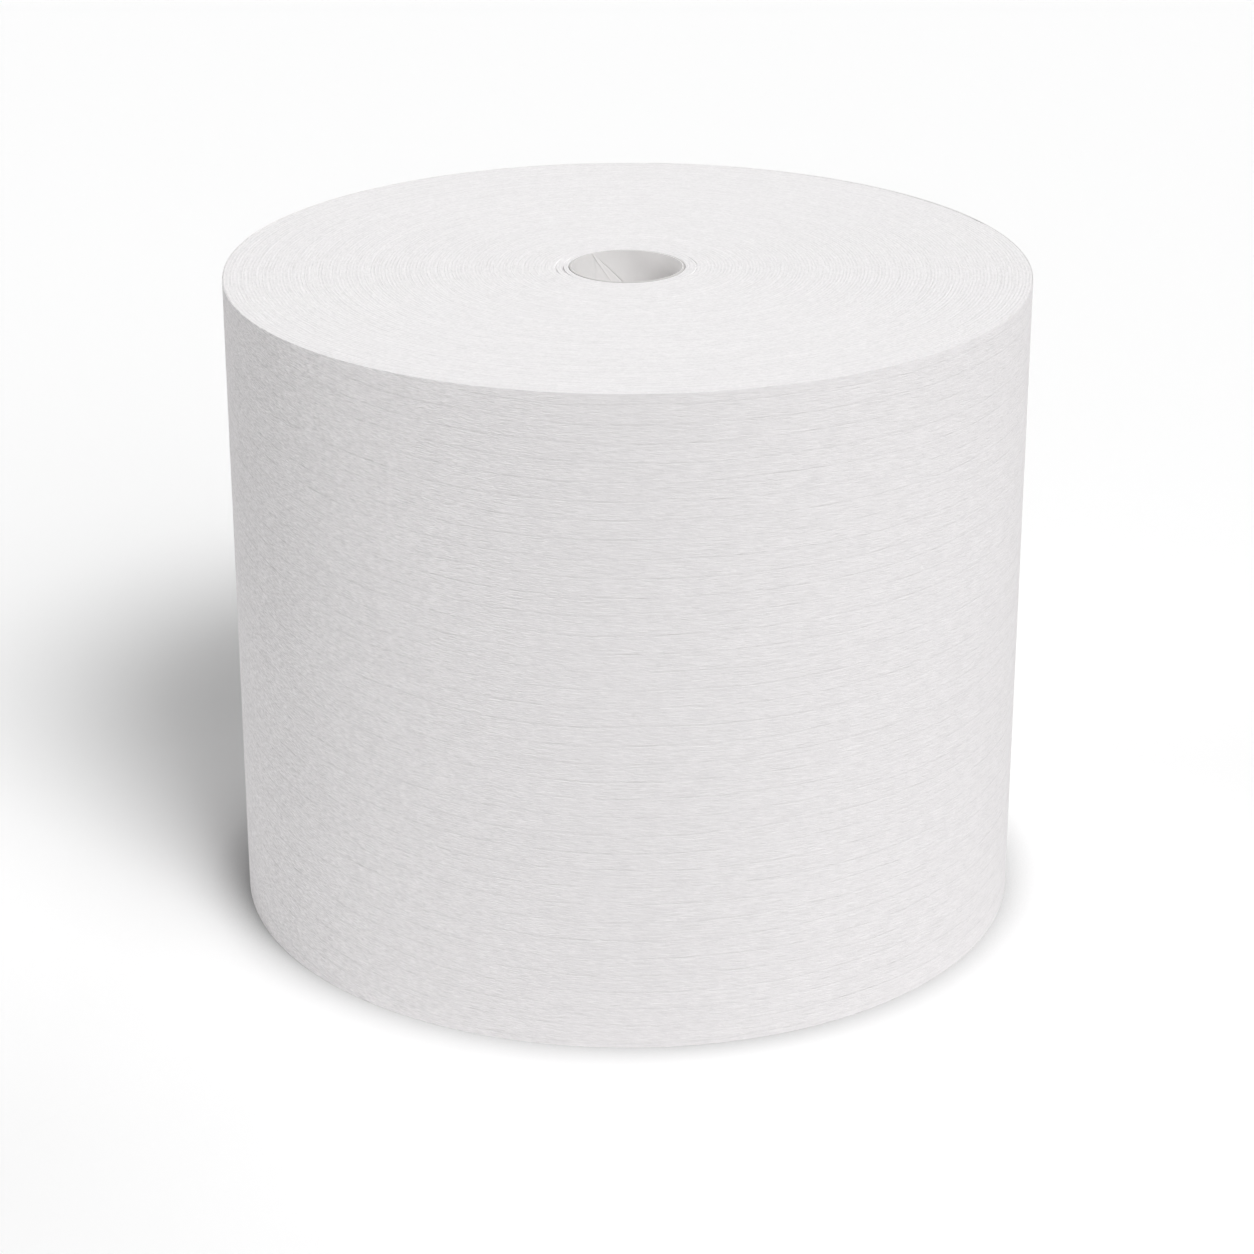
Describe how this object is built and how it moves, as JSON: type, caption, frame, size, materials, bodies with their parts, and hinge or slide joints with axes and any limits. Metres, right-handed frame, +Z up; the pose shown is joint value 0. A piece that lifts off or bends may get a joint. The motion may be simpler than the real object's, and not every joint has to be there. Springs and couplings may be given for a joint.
{
  "type": "paper roll",
  "caption": "Short, thick roll of plain white paper on a spiral-wound board core, standing on end, with a loose tail behind that peels outward.",
  "frame": {"origin": "centre of the core's hole, in the plane that the roll stands on", "axes": "+Z up along the core's axis; the tail is on the +X +Y side, so -Y looks at a plain side"},
  "size_m": [0.2785, 0.2784, 0.229],
  "materials": {
    "face_paper": "matte, finely creped and fibrous",
    "wound_paper": "matte, the cut edges of many sheets in fine rings",
    "liner_board": "matte grey-white paperboard with a helical seam",
    "board": "matte paperboard",
    "dried_glue": "dried, slightly yellow, thin"
  },
  "bodies": {
    "roll": {"core_liner": "liner_board", "core_middle_ply": "board", "core_outer_ply": "board", "pickup_glue": "dried_glue", "wound_web": "wound_paper", "outer_wrap": "face_paper", "tail_seal": "dried_glue"},
    "tail_1": {"tail_panel_1": "face_paper"},
    "tail_2": {"tail_panel_2": "face_paper"},
    "tail_3": {"tail_panel_3": "face_paper"},
    "tail_4": {"tail_panel_4": "face_paper"},
    "tail_5": {"tail_panel_5": "face_paper"},
    "tail_6": {"tail_panel_6": "face_paper"}
  },
  "joints": [
    {"name": "tail_bend_1", "type": "hinge", "parent": "roll", "child": "tail_1", "pos_m": [0.12648, 0.05898, 0.1145], "axis": [0, 0, -1], "range_deg": [0, 10.28], "stiffness_Nm_per_rad": 0.02},
    {"name": "tail_bend_2", "type": "hinge", "parent": "tail_1", "child": "tail_2", "pos_m": [0.11392, 0.08061, 0.1145], "axis": [0, 0, -1], "range_deg": [0, 10.28], "stiffness_Nm_per_rad": 0.02},
    {"name": "tail_bend_3", "type": "hinge", "parent": "tail_2", "child": "tail_3", "pos_m": [0.0977, 0.09965, 0.1145], "axis": [0, 0, -1], "range_deg": [0, 10.28], "stiffness_Nm_per_rad": 0.02},
    {"name": "tail_bend_4", "type": "hinge", "parent": "tail_3", "child": "tail_4", "pos_m": [0.07834, 0.11549, 0.1145], "axis": [0, 0, -1], "range_deg": [0, 10.28], "stiffness_Nm_per_rad": 0.02},
    {"name": "tail_bend_5", "type": "hinge", "parent": "tail_4", "child": "tail_5", "pos_m": [0.05647, 0.12761, 0.1145], "axis": [0, 0, -1], "range_deg": [0, 10.28], "stiffness_Nm_per_rad": 0.02},
    {"name": "tail_bend_6", "type": "hinge", "parent": "tail_5", "child": "tail_6", "pos_m": [0.03278, 0.13565, 0.1145], "axis": [0, 0, -1], "range_deg": [0, 10.28], "stiffness_Nm_per_rad": 0.02}
  ],
  "couplings": [
    {"joint": "tail_bend_2", "follows": "tail_bend_1", "ratio": 1},
    {"joint": "tail_bend_3", "follows": "tail_bend_1", "ratio": 1},
    {"joint": "tail_bend_4", "follows": "tail_bend_1", "ratio": 1},
    {"joint": "tail_bend_5", "follows": "tail_bend_1", "ratio": 1},
    {"joint": "tail_bend_6", "follows": "tail_bend_1", "ratio": 1}
  ]
}
